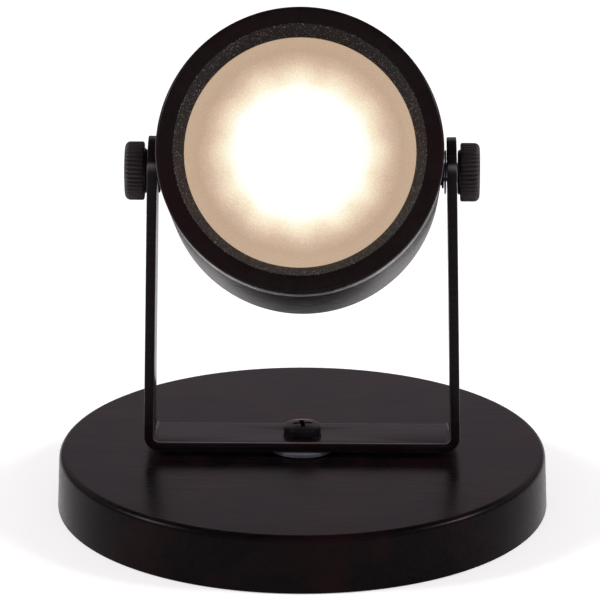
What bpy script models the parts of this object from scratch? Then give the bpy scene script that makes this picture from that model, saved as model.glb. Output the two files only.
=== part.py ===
"""An accent uplight: a weighted round base, a strap yoke that swivels on it, and a drum head
that tilts in the yoke between two knurled knobs.

Metres, +Z up. The origin is under the middle of the base, and the lamp faces -Y. Head pieces
are drawn in the head's own frame, whose +Z runs out through the lens from the tilt axis.
"""

import math

import bmesh
import bpy
from mathutils import Matrix, Vector

# Gaps that touching pieces keep
SEAT_GAP = 0.00025
THIN_GAP = 0.0002
THREAD_GAP = 0.00012
RUNNING_GAP = 0.0003

# Base
BASE_RADIUS = 0.0635
BASE_TAPER = 0.0006
BASE_HEIGHT = 0.0149
BASE_EDGE_RADIUS = 0.0018
SHELL_WALL = 0.0012
SHELL_INNER_RADIUS = 0.0006
SHELL_LIFT = 0.0001
PAD_THICKNESS = 0.002
PAD_EDGE_GAP = 0.0005
WEIGHT_RADIUS = 0.045
WEIGHT_CHAMFER = 0.001
NUT_POCKET_RADIUS = 0.0072
NUT_POCKET_DEPTH = 0.008

# Centre screw, its nut and washers
SCREW_RADIUS = 0.0025
SCREW_HEAD_RADIUS = 0.0048
SCREW_HEAD_HEIGHT = 0.0026
SCREW_HEAD_EDGE = 0.0012
SCREW_END = 0.0006
SCREW_CHAMFER = 0.0004
RECESS_SPAN = 0.0052
RECESS_WIDTH = 0.0011
RECESS_DEPTH = 0.0015
NUT_FLATS = 0.008
NUT_HEIGHT = 0.004
NUT_WASHER_RADIUS = 0.005
NUT_WASHER_THICKNESS = 0.001
SWIVEL_WASHER_RADIUS = 0.0088
SWIVEL_WASHER_THICKNESS = 0.00105
WAVE_WASHER_RADIUS = 0.0052
WAVE_WASHER_SHEET = 0.0003
WAVE_WASHER_HEIGHT = 0.0008
WAVE_COUNT = 3

# Yoke
STRAP_WIDTH = 0.015
STRAP_THICKNESS = 0.0025
ARM_SPREAD = 0.0016
BEND_RADIUS = 0.004
PIVOT_RISE = 0.07335
ARM_END_OFFSET = 0.0015

# Head outline
HEAD_TILT = math.radians(24.6)
FRONT_REACH = 0.042
REAR_REACH = 0.0165
RIM_RADIUS = 0.0354
REAR_TAPER = 0.0003
HOUSING_WALL = 0.0016
REAR_EDGE_RADIUS = 0.004
REAR_WALL = 0.0016
REAR_INNER_RADIUS = 0.0022
LEDGE_WIDTH = 0.001
LEDGE_HEIGHT = 0.0126

# Front ring
RING_DEPTH = 0.009
RING_EDGE_RADIUS = 0.0009
SEAM_GAP = 0.0003
SMALL_EDGE = 0.0003
RING_FACE_WIDTH = 0.00435
CONE_DEPTH = 0.0052
CONE_WIDTH = 0.00248
LIP_THICKNESS = 0.0008
SPIGOT_LENGTH = 0.006
SPIGOT_WALL = 0.0017

# Lens, gasket and reflector
LENS_THICKNESS = 0.0024
LENS_EDGE = 0.0004
GASKET_WIDTH = 0.0018
GASKET_THICKNESS = 0.001
REFLECTOR_WALL = 0.001
REFLECTOR_FLANGE = 0.0012
REFLECTOR_FOOT_SHARE = 0.79

# LED board and its emitters
BOARD_MARGIN = 0.0013
BOARD_THICKNESS = 0.0016
EMITTER_COUNT = 12
EMITTER_CIRCLE_SHARE = 0.58
EMITTER_LENGTH = 0.0035
EMITTER_WIDTH = 0.0028
EMITTER_HEIGHT = 0.0008
LEAD_HOLE_RADIUS = 0.003

# Heat spreader and board screws
SPREADER_THICKNESS = 0.003
BOARD_SCREW_COUNT = 3
BOARD_SCREW_CIRCLE_SHARE = 0.82
SMALL_SCREW_RADIUS = 0.0015
SMALL_HEAD_RADIUS = 0.0028
SMALL_HEAD_HEIGHT = 0.0017
SMALL_HEAD_EDGE = 0.0007
SMALL_CHAMFER = 0.0002
BOARD_SCREW_REACH = 0.0022

# Driver
POST_RADIUS = 0.003
POST_LENGTH = 0.0068
POST_OFFSET_SHARE = 0.403
DRIVER_CORNER_GAP = 0.001
DRIVER_WIDTH_SHARE = 0.588
DRIVER_THICKNESS = 0.0016
DRIVER_SCREW_REACH = 0.004
DRIVER_HOLE_EXTRA = 0.0012
CAPACITOR_RADIUS_SHARE = 0.21
CAPACITOR_LENGTH = 0.012
CAPACITOR_EDGE = 0.0007
CAPACITOR_PLACE_SHARES = (0.125, 0.27)
TRANSFORMER_SHARES = (0.50, 0.46)
TRANSFORMER_HEIGHT = 0.010
TRANSFORMER_PLACE_SHARES = (-0.11, -0.23)
TERMINAL_SHARES = (0.42, 0.336)
TERMINAL_HEIGHT = 0.0075
TERMINAL_PLACE_SHARES = (-0.18, 0.27)
TERMINAL_BORE = 0.0011
TERMINAL_BORE_DEPTH = 0.004
TERMINAL_PITCH_SHARE = 0.5
BLOCK_EDGE = 0.0005
CUP_GAP = 0.0016
CUP_WALL = 0.0009
CUP_HOLE_RADIUS = 0.004

# Leads from the driver to the LED board
LEAD_RADIUS = 0.0006
LEAD_PAD_REACH = 0.0052
LEAD_SPREAD = 0.0011
LEAD_FOOT_REACH = 0.0022
LEAD_HUMP = 0.0011
LEAD_DROP = 0.0016

# Cord bushing
BUSH_BORE_RADIUS = 0.0033
BUSH_NECK_RADIUS = 0.0052
BUSH_FLANGE_RADIUS = 0.0074
BUSH_FLANGE_THICKNESS = 0.002
BUSH_FLANGE_EDGE = 0.0012
BUSH_CATCH_RADIUS = 0.0061
BUSH_CATCH_THICKNESS = 0.0007

# Pivot inserts, washers, studs and knobs
INSERT_FLANGE_RADIUS = 0.00415
INSERT_FLANGE_THICKNESS = 0.0005
INSERT_BARREL_RADIUS = 0.0034
INSERT_UPSET_RADIUS = 0.0044
INSERT_UPSET_GAP = 0.0009
INSERT_UPSET_LENGTH = 0.0012
INSERT_LENGTH = 0.00957
PIVOT_WASHER_RADIUS = 0.0056
PIVOT_WASHER_THICKNESS = 0.00035
LEAN_GAP = 0.00025
STUD_RADIUS = 0.0024
STUD_END_GAP = 0.0015
KNOB_RADIUS = 0.00745
KNOB_LENGTH = 0.0049
KNOB_EDGE = 0.0014
KNOB_SHOULDER_RADIUS = 0.0057
KNOB_SHOULDER_LENGTH = 0.00065
KNOB_END_WALL = 0.0015
RIB_COUNT = 40
RIB_DEPTH = 0.00045

# Mesh fineness and helpers
LARGE_ROUND = 56
MEDIUM_ROUND = 32
SMALL_ROUND = 16
ARC_TOLERANCE = 0.00005
LEAD_STEPS = 3
OVERRUN = 0.002
SINK = 0.0001
MERGE_DISTANCE = 0.0000005

# Heights worked out from the sizes above, up from the ground
BASE_TOP_RADIUS = BASE_RADIUS - BASE_TAPER
SHELL_UNDERSIDE = BASE_HEIGHT - SHELL_WALL
WEIGHT_BOTTOM = PAD_THICKNESS + SEAT_GAP
POCKET_CEILING = WEIGHT_BOTTOM + NUT_POCKET_DEPTH
NUT_WASHER_BOTTOM = POCKET_CEILING - SEAT_GAP - NUT_WASHER_THICKNESS
WAVE_BOTTOM = NUT_WASHER_BOTTOM - THIN_GAP - WAVE_WASHER_HEIGHT
NUT_BOTTOM = WAVE_BOTTOM - THIN_GAP - NUT_HEIGHT
SWIVEL_WASHER_BOTTOM = BASE_HEIGHT + THIN_GAP
STRAP_BOTTOM = SWIVEL_WASHER_BOTTOM + SWIVEL_WASHER_THICKNESS + THIN_GAP
SCREW_SEAT = STRAP_BOTTOM + STRAP_THICKNESS + SEAT_GAP

# Places along the head's axis, forward from the tilt axis
REAR_END = -REAR_REACH
RING_BACK = FRONT_REACH - RING_DEPTH
LIP_FRONT = FRONT_REACH - CONE_DEPTH
LIP_BACK = LIP_FRONT - LIP_THICKNESS
LENS_BACK = LIP_BACK - SEAT_GAP - LENS_THICKNESS
GASKET_BACK = LENS_BACK - SEAT_GAP - GASKET_THICKNESS
SPREADER_BACK = LEDGE_HEIGHT + SEAT_GAP
BOARD_BACK = SPREADER_BACK + SPREADER_THICKNESS + SEAT_GAP
BOARD_FRONT = BOARD_BACK + BOARD_THICKNESS
DRIVER_FRONT = SPREADER_BACK - POST_LENGTH - SEAT_GAP
DRIVER_BACK = DRIVER_FRONT - DRIVER_THICKNESS
BUSH_CATCH_BACK = REAR_END + REAR_WALL + SEAT_GAP
CUP_BACK = BUSH_CATCH_BACK + BUSH_CATCH_THICKNESS + SEAT_GAP

# Radii that follow from what fits inside what
REAR_RADIUS = RIM_RADIUS - REAR_TAPER
BORE_RADIUS = REAR_RADIUS - HOUSING_WALL
REAR_BORE_RADIUS = BORE_RADIUS - LEDGE_WIDTH
OPENING_RADIUS = RIM_RADIUS - RING_FACE_WIDTH
LENS_VIEW_RADIUS = OPENING_RADIUS - CONE_WIDTH
SPIGOT_RADIUS = BORE_RADIUS - RUNNING_GAP
POCKET_RADIUS = SPIGOT_RADIUS - SPIGOT_WALL
LENS_RADIUS = POCKET_RADIUS - RUNNING_GAP
MOUTH_RADIUS = LENS_RADIUS - GASKET_WIDTH
REFLECTOR_FOOT_RADIUS = MOUTH_RADIUS * REFLECTOR_FOOT_SHARE
BOARD_RADIUS = REFLECTOR_FOOT_RADIUS + REFLECTOR_WALL + BOARD_MARGIN
BOARD_SCREW_CIRCLE = REFLECTOR_FOOT_RADIUS * BOARD_SCREW_CIRCLE_SHARE
EMITTER_CIRCLE = REFLECTOR_FOOT_RADIUS * EMITTER_CIRCLE_SHARE


def drum_radius(place):
    """The drum's outer radius at a place along the head's axis: it tapers a little rearwards."""
    share = (FRONT_REACH - place) / (FRONT_REACH + REAR_REACH)
    return RIM_RADIUS + (REAR_RADIUS - RIM_RADIUS) * share


# Places along the tilt axis, outwards from the head's axis
INSERT_FACE = drum_radius(0) + THIN_GAP
WASHER_FACE = INSERT_FACE + INSERT_FLANGE_THICKNESS + THIN_GAP
ARM_INNER = WASHER_FACE + PIVOT_WASHER_THICKNESS + LEAN_GAP
ARM_OUTER = ARM_INNER + STRAP_THICKNESS
KNOB_FACE = ARM_OUTER + LEAN_GAP
KNOB_BARREL = KNOB_FACE + KNOB_SHOULDER_LENGTH
KNOB_END = KNOB_BARREL + KNOB_LENGTH
YOKE_SPAN = 2 * (ARM_OUTER + ARM_SPREAD)
INSERT_END = INSERT_FACE + INSERT_FLANGE_THICKNESS - INSERT_LENGTH
INSERT_UPSET_OUT = REAR_BORE_RADIUS - INSERT_UPSET_GAP
INSERT_UPSET_IN = INSERT_UPSET_OUT - INSERT_UPSET_LENGTH
STUD_DEPTH = INSERT_END + STUD_END_GAP

# The driver's cup clears the inserts, and its board fills the cup
CUP_RADIUS = INSERT_END - CUP_GAP
CUP_BORE = CUP_RADIUS - CUP_WALL
DRIVER_WIDTH = 2 * CUP_BORE * DRIVER_WIDTH_SHARE
DRIVER_LENGTH = 2 * math.sqrt((CUP_BORE - DRIVER_CORNER_GAP) ** 2 - (DRIVER_WIDTH / 2) ** 2)
POST_OFFSET = DRIVER_LENGTH * POST_OFFSET_SHARE
CAPACITOR_RADIUS = CUP_BORE * CAPACITOR_RADIUS_SHARE


def clear_scene():
    for old in list(bpy.data.objects):
        bpy.data.objects.remove(old)


def material(name, colour, roughness, metallic):
    made = bpy.data.materials.new(name)
    made.use_nodes = True
    shader = made.node_tree.nodes["Principled BSDF"]
    shader.inputs["Base Color"].default_value = (*colour, 1)
    shader.inputs["Roughness"].default_value = roughness
    shader.inputs["Metallic"].default_value = metallic
    made.diffuse_color = (*colour, 1)
    return made


def make_materials():
    return {
        "base_paint": material("base_paint", (0.014, 0.010, 0.010), 0.34, 0.2),
        "yoke_paint": material("yoke_paint", (0.012, 0.010, 0.011), 0.32, 0.2),
        "head_paint": material("head_paint", (0.013, 0.008, 0.008), 0.42, 0.2),
        "black_screw": material("black_screw", (0.010, 0.009, 0.010), 0.2, 0.8),
        "knob_plastic": material("knob_plastic", (0.018, 0.014, 0.016), 0.45, 0),
        "frosted_glass": material("frosted_glass", (0.86, 0.78, 0.68), 0.6, 0),
        "zinc": material("zinc", (0.55, 0.55, 0.57), 0.35, 1),
        "cast_iron": material("cast_iron", (0.08, 0.08, 0.08), 0.7, 0.8),
        "foam": material("foam", (0.02, 0.02, 0.02), 0.95, 0),
        "silicone": material("silicone", (0.75, 0.74, 0.70), 0.6, 0),
        "white_plastic": material("white_plastic", (0.85, 0.85, 0.82), 0.4, 0),
        "board_white": material("board_white", (0.82, 0.82, 0.80), 0.5, 0),
        "board_green": material("board_green", (0.03, 0.16, 0.06), 0.4, 0),
        "aluminium": material("aluminium", (0.70, 0.71, 0.72), 0.4, 1),
        "black_plastic": material("black_plastic", (0.02, 0.02, 0.02), 0.5, 0),
        "brass": material("brass", (0.62, 0.45, 0.20), 0.3, 1),
        "lead_red": material("lead_red", (0.55, 0.03, 0.02), 0.5, 0),
        "lead_black": material("lead_black", (0.02, 0.02, 0.02), 0.5, 0),
    }


def place(name, mesh, finish, parent=None, rotation=(0, 0, 0), location=(0, 0, 0)):
    """Turns a bmesh into a smooth-shaded object, seated on its parent."""
    data = bpy.data.meshes.new(name)
    mesh.to_mesh(data)
    mesh.free()
    data.shade_smooth()
    data.set_sharp_from_angle(angle=math.radians(30))
    if finish:
        data.materials.append(finish)
    made = bpy.data.objects.new(name, data)
    bpy.context.scene.collection.objects.link(made)
    made.parent = parent
    made.rotation_euler = rotation
    made.location = location
    return made


def empty(name, location, rotation=(0, 0, 0), parent=None):
    made = bpy.data.objects.new(name, None)
    bpy.context.scene.collection.objects.link(made)
    made.parent = parent
    made.location = location
    made.rotation_euler = rotation
    return made


def helper(name, mesh, like):
    """A cutter, or a shape to be joined, in the same frame as the object that it works on."""
    made = place(name, mesh, None, like.parent, like.rotation_euler, like.location)
    made.hide_render = True
    made.display_type = "WIRE"
    return made


def boolean(target, tool_mesh, name, operation="DIFFERENCE"):
    """Cuts, joins or trims the target with a bmesh drawn in the target's own frame."""
    change = target.modifiers.new(name, "BOOLEAN")
    change.operation = operation
    change.solver = "EXACT"
    change.object = helper(f"{target.name}_{name}", tool_mesh, target)


def rounded(corners, closed=True):
    """Points of an outline given as corners (x, y, fillet radius)."""
    points = []
    last = len(corners) - 1
    for index, (x, y, fillet) in enumerate(corners):
        corner = Vector((x, y))
        if not fillet or (not closed and index in (0, last)):
            points.append((x, y))
            continue
        before = (Vector(corners[index - 1][:2]) - corner).normalized()
        after = (Vector(corners[(index + 1) % len(corners)][:2]) - corner).normalized()
        half = before.angle(after) / 2
        centre = corner + (before + after).normalized() * fillet / math.sin(half)
        start = corner + before * fillet / math.tan(half) - centre
        end = corner + after * fillet / math.tan(half) - centre
        first = math.atan2(start.y, start.x)
        turn = (math.atan2(end.y, end.x) - first + math.pi) % math.tau - math.pi
        steps = math.ceil(abs(turn) / (2 * math.acos(1 - ARC_TOLERANCE / fillet)))
        for step in range(steps + 1):
            angle = first + turn * step / steps
            point = Vector((centre.x + fillet * math.cos(angle), centre.y + fillet * math.sin(angle)))
            if not points or (point - Vector(points[-1])).length > MERGE_DISTANCE:
                points.append((point.x, point.y))
    return points


def turned(outline, segments):
    """The outline, as points (radius, height), turned about Z."""
    mesh = bmesh.new()
    verts = [mesh.verts.new((radius, 0, height)) for radius, height in outline]
    edges = [
        mesh.edges.new(pair)
        for pair in zip(verts, verts[1:] + verts[:1])
        if pair[0].co.x > 0 or pair[1].co.x > 0
    ]
    bmesh.ops.spin(
        mesh, geom=verts + edges, cent=(0, 0, 0), axis=(0, 0, 1), angle=math.tau, steps=segments
    )
    bmesh.ops.remove_doubles(mesh, verts=mesh.verts, dist=MERGE_DISTANCE)
    bmesh.ops.recalc_face_normals(mesh, faces=mesh.faces)
    return mesh


def ring(inner, outer, bottom, top, segments):
    return turned([(inner, bottom), (outer, bottom), (outer, top), (inner, top)], segments)


def cylinder(radius, bottom, top, segments=SMALL_ROUND, centre=(0, 0)):
    mesh = turned([(0, bottom), (radius, bottom), (radius, top), (0, top)], segments)
    bmesh.ops.translate(mesh, verts=mesh.verts, vec=(*centre, 0))
    return mesh


def merged(meshes):
    """One bmesh that holds several."""
    whole = bmesh.new()
    for part in meshes:
        data = bpy.data.meshes.new("merged")
        part.to_mesh(data)
        part.free()
        whole.from_mesh(data)
        bpy.data.meshes.remove(data)
    return whole


def block(size, centre):
    mesh = bmesh.new()
    bmesh.ops.create_cube(mesh, size=1)
    bmesh.ops.scale(mesh, verts=mesh.verts, vec=size)
    bmesh.ops.translate(mesh, verts=mesh.verts, vec=centre)
    return mesh


def prism(outline, depth, sideways=False):
    """An outline (x, z) extruded along Y, or (y, z) extruded along X, centred on zero."""
    mesh = bmesh.new()
    if sideways:
        verts = [mesh.verts.new((-depth / 2, y, z)) for y, z in outline]
        step = (depth, 0, 0)
    else:
        verts = [mesh.verts.new((x, -depth / 2, z)) for x, z in outline]
        step = (0, depth, 0)
    face = mesh.faces.new(verts)
    sides = bmesh.ops.extrude_face_region(mesh, geom=[face], use_keep_orig=True)
    moved = [item for item in sides["geom"] if isinstance(item, bmesh.types.BMVert)]
    bmesh.ops.translate(mesh, verts=moved, vec=step)
    bmesh.ops.recalc_face_normals(mesh, faces=mesh.faces)
    return mesh


def sideways(mesh):
    """Lays a shape that was drawn along Z along X."""
    bmesh.ops.rotate(mesh, verts=mesh.verts, cent=(0, 0, 0), matrix=Matrix.Rotation(math.pi / 2, 3, "Y"))
    return mesh


def around(count, radius, start=0.0):
    """Places (x, y, angle) spaced evenly round a circle."""
    for index in range(count):
        angle = start + math.tau * index / count
        yield radius * math.cos(angle), radius * math.sin(angle), angle


def pan_screw(radius, length, chamfer, head_radius, head_height, head_edge, segments):
    """A pan-head screw on Z, with the underside of its head at zero."""
    return turned(
        rounded(
            [
                (0, -length, 0),
                (radius - chamfer, -length, 0),
                (radius, chamfer - length, 0),
                (radius, 0, 0),
                (head_radius, 0, 0),
                (head_radius, head_height - head_edge / 2, head_edge),
                (0, head_height, 0),
            ],
            closed=False,
        ),
        segments,
    )


# The base and what clamps the yoke to it


def make_base_shell(finish):
    inner_top = BASE_TOP_RADIUS - SHELL_WALL
    inner_bottom = BASE_RADIUS - SHELL_WALL
    outline = rounded(
        [
            (SCREW_RADIUS + RUNNING_GAP, BASE_HEIGHT, 0),
            (SCREW_RADIUS + RUNNING_GAP, SHELL_UNDERSIDE, 0),
            (inner_top, SHELL_UNDERSIDE, SHELL_INNER_RADIUS),
            (inner_bottom, SHELL_LIFT, 0),
            (BASE_RADIUS, SHELL_LIFT, SMALL_EDGE),
            (BASE_TOP_RADIUS, BASE_HEIGHT, BASE_EDGE_RADIUS),
        ]
    )
    place("base_shell", turned(outline, LARGE_ROUND), finish["base_paint"])


def make_base_weight(finish):
    top = SHELL_UNDERSIDE - SEAT_GAP
    bore = SCREW_RADIUS + RUNNING_GAP
    outline = [
        (bore, top),
        (bore, POCKET_CEILING),
        (NUT_POCKET_RADIUS, POCKET_CEILING),
        (NUT_POCKET_RADIUS, WEIGHT_BOTTOM),
        (WEIGHT_RADIUS, WEIGHT_BOTTOM),
        (WEIGHT_RADIUS, top - WEIGHT_CHAMFER),
        (WEIGHT_RADIUS - WEIGHT_CHAMFER, top),
    ]
    place("base_weight", turned(outline, MEDIUM_ROUND), finish["cast_iron"])


def make_base_pad(finish):
    radius = BASE_RADIUS - SHELL_WALL - PAD_EDGE_GAP
    place("base_pad", cylinder(radius, 0, PAD_THICKNESS, LARGE_ROUND), finish["foam"])


def make_nut_and_washer(finish):
    bore = SCREW_RADIUS + THREAD_GAP
    washer_top = NUT_WASHER_BOTTOM + NUT_WASHER_THICKNESS
    washer = ring(
        SCREW_RADIUS + RUNNING_GAP, NUT_WASHER_RADIUS, NUT_WASHER_BOTTOM, washer_top, SMALL_ROUND
    )
    place("nut_washer", washer, finish["zinc"])
    corner_radius = NUT_FLATS / 2 / math.cos(math.pi / 6)
    nut = place(
        "yoke_nut",
        cylinder(corner_radius, NUT_BOTTOM, NUT_BOTTOM + NUT_HEIGHT, 6),
        finish["zinc"],
    )
    boolean(nut, cylinder(bore, NUT_BOTTOM - OVERRUN, NUT_BOTTOM + NUT_HEIGHT + OVERRUN), "bore")


def make_swivel_washer(finish):
    washer = ring(
        SCREW_RADIUS + RUNNING_GAP,
        SWIVEL_WASHER_RADIUS,
        SWIVEL_WASHER_BOTTOM,
        SWIVEL_WASHER_BOTTOM + SWIVEL_WASHER_THICKNESS,
        MEDIUM_ROUND,
    )
    place("swivel_washer", washer, finish["zinc"])


def make_wave_washer(finish):
    """A thin ring whose height waves round it, so that it presses like a spring."""
    mesh = bmesh.new()
    swing = (WAVE_WASHER_HEIGHT - WAVE_WASHER_SHEET) / 2
    middle = WAVE_BOTTOM + WAVE_WASHER_HEIGHT / 2
    inner = SCREW_RADIUS + RUNNING_GAP
    sections = []
    for index in range(MEDIUM_ROUND):
        angle = math.tau * index / MEDIUM_ROUND
        height = middle + swing * math.cos(WAVE_COUNT * angle)
        section = [
            mesh.verts.new((radius * math.cos(angle), radius * math.sin(angle), height + side))
            for radius, side in (
                (inner, -WAVE_WASHER_SHEET / 2),
                (WAVE_WASHER_RADIUS, -WAVE_WASHER_SHEET / 2),
                (WAVE_WASHER_RADIUS, WAVE_WASHER_SHEET / 2),
                (inner, WAVE_WASHER_SHEET / 2),
            )
        ]
        sections.append(section)
    join_rings(mesh, sections + sections[:1])
    bmesh.ops.recalc_face_normals(mesh, faces=mesh.faces)
    place("wave_washer", mesh, finish["zinc"])


def join_rings(mesh, rings):
    """Faces between each ring of vertices and the next."""
    for lower, upper in zip(rings, rings[1:]):
        for index in range(len(lower)):
            after = (index + 1) % len(lower)
            mesh.faces.new((lower[index], lower[after], upper[after], upper[index]))


def make_yoke_screw(finish):
    length = SCREW_SEAT - NUT_BOTTOM + SCREW_END
    screw = place(
        "yoke_screw",
        pan_screw(
            SCREW_RADIUS,
            length,
            SCREW_CHAMFER,
            SCREW_HEAD_RADIUS,
            SCREW_HEAD_HEIGHT,
            SCREW_HEAD_EDGE,
            MEDIUM_ROUND,
        ),
        finish["black_screw"],
        location=(0, 0, SCREW_SEAT),
    )
    depth = RECESS_DEPTH + OVERRUN
    centre = (0, 0, SCREW_HEAD_HEIGHT - RECESS_DEPTH + depth / 2)
    boolean(screw, block((RECESS_SPAN, RECESS_WIDTH, depth), centre), "slot_across")
    boolean(screw, block((RECESS_WIDTH, RECESS_SPAN, depth), centre), "slot_along")


# The yoke


def make_yoke(finish, swivel):
    """One strap bent to a U, drawn with the underside of its foot at zero. The arms lean in
    a little, because the knobs draw them onto the head."""
    top = PIVOT_RISE + ARM_END_OFFSET + STRAP_WIDTH / 2
    foot = YOKE_SPAN / 2
    lean = (foot - ARM_OUTER) / PIVOT_RISE
    head = foot - lean * top
    inner_bend = BEND_RADIUS - STRAP_THICKNESS
    outline = rounded(
        [
            (-head, top, 0),
            (-foot, 0, BEND_RADIUS),
            (foot, 0, BEND_RADIUS),
            (head, top, 0),
            (head - STRAP_THICKNESS, top, 0),
            (foot - STRAP_THICKNESS, STRAP_THICKNESS, inner_bend),
            (STRAP_THICKNESS - foot, STRAP_THICKNESS, inner_bend),
            (STRAP_THICKNESS - head, top, 0),
        ]
    )
    yoke = place("yoke", prism(outline, STRAP_WIDTH + OVERRUN), finish["yoke_paint"], swivel)
    half = STRAP_WIDTH / 2
    side = rounded([(-half, -OVERRUN, 0), (half, -OVERRUN, 0), (half, top, half), (-half, top, half)])
    boolean(yoke, prism(side, YOKE_SPAN + OVERRUN, sideways=True), "round_ends", "INTERSECT")
    clear = SCREW_RADIUS + RUNNING_GAP
    boolean(yoke, cylinder(clear, -OVERRUN, STRAP_THICKNESS + OVERRUN), "screw_hole")
    reach = YOKE_SPAN / 2 + OVERRUN
    pivot = sideways(cylinder(STUD_RADIUS + RUNNING_GAP, -reach, reach))
    bmesh.ops.translate(pivot, verts=pivot.verts, vec=(0, 0, PIVOT_RISE))
    boolean(yoke, pivot, "pivot_holes")


# The head's shell


def make_housing(finish, head):
    front = RING_BACK - SEAM_GAP
    outline = rounded(
        [
            (BORE_RADIUS, front, 0),
            (drum_radius(front), front, SMALL_EDGE),
            (REAR_RADIUS, REAR_END, REAR_EDGE_RADIUS),
            (BUSH_NECK_RADIUS + SEAT_GAP, REAR_END, 0),
            (BUSH_NECK_RADIUS + SEAT_GAP, REAR_END + REAR_WALL, 0),
            (REAR_BORE_RADIUS, REAR_END + REAR_WALL, REAR_INNER_RADIUS),
            (REAR_BORE_RADIUS, LEDGE_HEIGHT, 0),
            (BORE_RADIUS, LEDGE_HEIGHT, 0),
        ]
    )
    housing = place("housing", turned(outline, LARGE_ROUND), finish["head_paint"], head)
    reach = RIM_RADIUS + OVERRUN
    holes = sideways(cylinder(INSERT_BARREL_RADIUS + SEAT_GAP, -reach, reach))
    boolean(housing, holes, "insert_holes")


def make_front_ring(finish, head):
    outline = rounded(
        [
            (OPENING_RADIUS, FRONT_REACH, SMALL_EDGE),
            (RIM_RADIUS, FRONT_REACH, RING_EDGE_RADIUS),
            (drum_radius(RING_BACK), RING_BACK, SMALL_EDGE),
            (SPIGOT_RADIUS, RING_BACK, 0),
            (SPIGOT_RADIUS, RING_BACK - SPIGOT_LENGTH, 0),
            (POCKET_RADIUS, RING_BACK - SPIGOT_LENGTH, 0),
            (POCKET_RADIUS, LIP_BACK, 0),
            (LENS_VIEW_RADIUS, LIP_BACK, 0),
            (LENS_VIEW_RADIUS, LIP_FRONT, 0),
        ]
    )
    place("front_ring", turned(outline, LARGE_ROUND), finish["head_paint"], head)


def make_lens(finish, head):
    outline = [
        (0, LENS_BACK),
        (LENS_RADIUS, LENS_BACK),
        (LENS_RADIUS, LENS_BACK + LENS_THICKNESS - LENS_EDGE),
        (LENS_RADIUS - LENS_EDGE, LENS_BACK + LENS_THICKNESS),
        (0, LENS_BACK + LENS_THICKNESS),
    ]
    place("lens", turned(outline, MEDIUM_ROUND), finish["frosted_glass"], head)


def make_gasket(finish, head):
    gasket = ring(
        MOUTH_RADIUS,
        LENS_RADIUS,
        GASKET_BACK,
        GASKET_BACK + GASKET_THICKNESS,
        MEDIUM_ROUND,
    )
    place("lens_gasket", gasket, finish["silicone"], head)


def make_reflector(finish, head):
    """A white cup, open at both ends, with a flange under the gasket."""
    top = GASKET_BACK - SEAT_GAP
    bottom = BOARD_FRONT + SEAT_GAP
    outline = [
        (MOUTH_RADIUS, top),
        (REFLECTOR_FOOT_RADIUS, bottom),
        (REFLECTOR_FOOT_RADIUS + REFLECTOR_WALL, bottom),
        (MOUTH_RADIUS + REFLECTOR_WALL / 2, top - REFLECTOR_FLANGE),
        (LENS_RADIUS, top - REFLECTOR_FLANGE),
        (LENS_RADIUS, top),
    ]
    place("reflector", turned(outline, MEDIUM_ROUND), finish["white_plastic"], head)


# Light source and heat spreader


def board_screw_places():
    return list(around(BOARD_SCREW_COUNT, BOARD_SCREW_CIRCLE, math.pi / 2))


def make_led_board(finish, head):
    board = ring(LEAD_HOLE_RADIUS, BOARD_RADIUS, BOARD_BACK, BOARD_FRONT, MEDIUM_ROUND)
    board = place("led_board", board, finish["board_white"], head)
    emitters = []
    for x, y, angle in around(EMITTER_COUNT, EMITTER_CIRCLE, math.pi / EMITTER_COUNT):
        height = EMITTER_HEIGHT + SINK
        emitter = block((EMITTER_WIDTH, EMITTER_LENGTH, height), (0, 0, height / 2))
        bmesh.ops.rotate(
            emitter, verts=emitter.verts, cent=(0, 0, 0), matrix=Matrix.Rotation(angle, 3, "Z")
        )
        bmesh.ops.translate(emitter, verts=emitter.verts, vec=(x, y, BOARD_FRONT - SINK))
        emitters.append(emitter)
    boolean(board, merged(emitters), "emitters", "UNION")
    holes = [
        cylinder(
            SMALL_SCREW_RADIUS + RUNNING_GAP,
            BOARD_BACK - OVERRUN,
            BOARD_FRONT + OVERRUN,
            centre=(x, y),
        )
        for x, y, _ in board_screw_places()
    ]
    boolean(board, merged(holes), "screw_holes")


def make_heat_spreader(finish, head):
    """A plate on the housing's ledge, with two posts behind it that carry the driver."""
    top = SPREADER_BACK + SPREADER_THICKNESS
    plate = ring(LEAD_HOLE_RADIUS, BORE_RADIUS - RUNNING_GAP, SPREADER_BACK, top, MEDIUM_ROUND)
    spreader = place("heat_spreader", plate, finish["aluminium"], head)
    posts = [
        cylinder(POST_RADIUS, SPREADER_BACK - POST_LENGTH, SPREADER_BACK + SINK, centre=(x, 0))
        for x in (-POST_OFFSET, POST_OFFSET)
    ]
    boolean(spreader, merged(posts), "posts", "UNION")
    holes = [
        cylinder(SMALL_SCREW_RADIUS + THREAD_GAP, SPREADER_BACK - OVERRUN, top + OVERRUN, centre=(x, y))
        for x, y, _ in board_screw_places()
    ]
    post_end = SPREADER_BACK - POST_LENGTH
    hole_depth = DRIVER_SCREW_REACH + DRIVER_HOLE_EXTRA
    holes += [
        cylinder(
            SMALL_SCREW_RADIUS + THREAD_GAP, post_end - OVERRUN, post_end + hole_depth, centre=(x, 0)
        )
        for x in (-POST_OFFSET, POST_OFFSET)
    ]
    boolean(spreader, merged(holes), "screw_holes")


def small_screw(length):
    return pan_screw(
        SMALL_SCREW_RADIUS,
        length,
        SMALL_CHAMFER,
        SMALL_HEAD_RADIUS,
        SMALL_HEAD_HEIGHT,
        SMALL_HEAD_EDGE,
        SMALL_ROUND,
    )


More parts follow.
